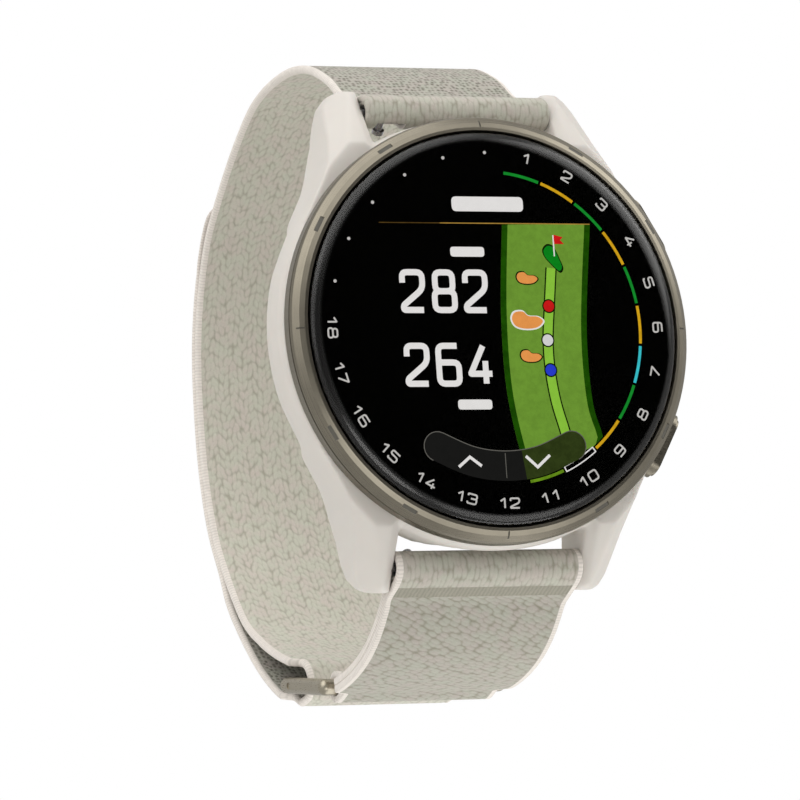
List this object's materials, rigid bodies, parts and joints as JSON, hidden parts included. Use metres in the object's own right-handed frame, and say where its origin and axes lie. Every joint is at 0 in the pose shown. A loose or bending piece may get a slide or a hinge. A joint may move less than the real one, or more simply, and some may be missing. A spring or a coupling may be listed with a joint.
{
  "type": "golf gps watch",
  "caption": "Round golf GPS watch with a domed glass over a course-map display, side push buttons and a knitted hook-and-loop strap closed round the wrist through a metal ring.",
  "frame": {"origin": "middle of the sensor window's flat back face, on the watch's axis", "axes": "+Z to 12 o'clock, +X to 3 o'clock, +Y out of the back of the case into the wrist, the glass facing -Y"},
  "size_m": [0.0439, 0.0587, 0.066],
  "materials": {
    "case_polymer": "fine satin moulded ivory polymer",
    "bezel_metal": "satin champagne metal, turned grain round the ring",
    "cover_glass": "polished, domed at the edge",
    "gasket_rubber": "matte",
    "display": "lit picture on black",
    "flex_film": "amber film",
    "frame_metal": "cast, matte",
    "copper_foil": "foil",
    "circuit_board": "green solder mask",
    "shield_steel": "tinned sheet",
    "battery_foil": "foil pouch",
    "black_plastic": "moulded",
    "cover_polymer": "satin moulded",
    "screw_steel": "turned",
    "sensor_glass": "polished dark window",
    "diode_resin": "clear resin",
    "gold_contact": "plated",
    "button_metal": "satin champagne metal",
    "spring_steel": "drawn wire",
    "bar_steel": "turned",
    "strap_fabric": "knitted nylon, pile on one face and mesh on the other",
    "hook_tape": "hook tape",
    "ring_metal": "satin champagne metal"
  },
  "bodies": {
    "watch": {"case_body": "case_polymer", "bezel_ring": "bezel_metal", "cover_glass": "cover_glass", "glass_gasket": "gasket_rubber", "display_panel": "display", "display_flex": "flex_film", "inner_frame": "frame_metal", "gps_antenna": "copper_foil", "main_board": "circuit_board", "board_shields": "shield_steel", "battery": "battery_foil", "vibration_motor": "shield_steel", "side_switches": "black_plastic", "back_cover": "cover_polymer", "back_gasket": "gasket_rubber", "back_screws": "screw_steel", "sensor_window": "sensor_glass", "sensor_board": "circuit_board", "sensor_diodes": "diode_resin", "charge_socket": "black_plastic", "charge_pins": "gold_contact", "upper_button_spring": "spring_steel", "lower_button_spring": "spring_steel"},
    "upper_button": {"upper_button": "button_metal", "upper_button_seal": "gasket_rubber", "upper_button_clip": "screw_steel"},
    "lower_button": {"lower_button": "button_metal", "lower_button_seal": "gasket_rubber", "lower_button_clip": "screw_steel"},
    "upper_strap": {"upper_strap": "strap_fabric", "upper_bar_tube": "bar_steel", "upper_bar_pin": "bar_steel", "upper_bar_spring": "spring_steel"},
    "lower_strap": {"lower_strap": "strap_fabric", "lower_bar_tube": "bar_steel", "lower_bar_pin": "bar_steel", "lower_bar_spring": "spring_steel"},
    "upper_bar_lever": {"upper_bar_lever": "bar_steel"},
    "lower_bar_lever": {"lower_bar_lever": "bar_steel"},
    "strap_tail": {"strap_tail": "strap_fabric", "hook_pad": "hook_tape"},
    "strap_ring": {"strap_ring": "ring_metal"}
  },
  "joints": [
    {"name": "upper_button_press", "type": "slide", "parent": "watch", "child": "upper_button", "axis": [-0.8704, 0, -0.4924], "range_m": [0, 0.0004], "stiffness_N_per_m": 1200, "deforming": ["upper_button_spring"]},
    {"name": "lower_button_press", "type": "slide", "parent": "watch", "child": "lower_button", "axis": [-0.8704, 0, 0.4924], "range_m": [0, 0.0004], "stiffness_N_per_m": 1200, "deforming": ["lower_button_spring"]},
    {"name": "lower_strap_pivot", "type": "hinge", "parent": "watch", "child": "lower_strap", "pos_m": [0, -0.0049, -0.0231], "axis": [1, 0, 0], "range_deg": [-4, 4]},
    {"name": "upper_strap_pivot", "type": "hinge", "parent": "watch", "child": "upper_strap", "pos_m": [0, -0.0049, 0.0231], "axis": [1, 0, 0], "range_deg": [-0.85, 0.85]},
    {"name": "ring_swivel", "type": "hinge", "parent": "lower_strap", "child": "strap_ring", "pos_m": [0, 0.0153, -0.0325], "axis": [1, 0, 0], "range_deg": [-9.7, 9.7]},
    {"name": "tail_peel", "type": "hinge", "parent": "upper_strap", "child": "strap_tail", "pos_m": [0, 0.0256, -0.03328], "axis": [-1, 0, 0], "range_deg": [0, 65]},
    {"name": "upper_lever_slide", "type": "slide", "parent": "upper_strap", "child": "upper_bar_lever", "axis": [1, 0, 0], "range_m": [0, 0.0013], "stiffness_N_per_m": 300, "deforming": ["upper_bar_spring"]},
    {"name": "lower_lever_slide", "type": "slide", "parent": "lower_strap", "child": "lower_bar_lever", "axis": [1, 0, 0], "range_m": [0, 0.0013], "stiffness_N_per_m": 300, "deforming": ["lower_bar_spring"]}
  ],
  "couplings": [
    {"joint": "upper_strap_pivot", "follows": "lower_strap_pivot", "ratio": 0.2101},
    {"joint": "ring_swivel", "follows": "lower_strap_pivot", "ratio": -2.418}
  ]
}
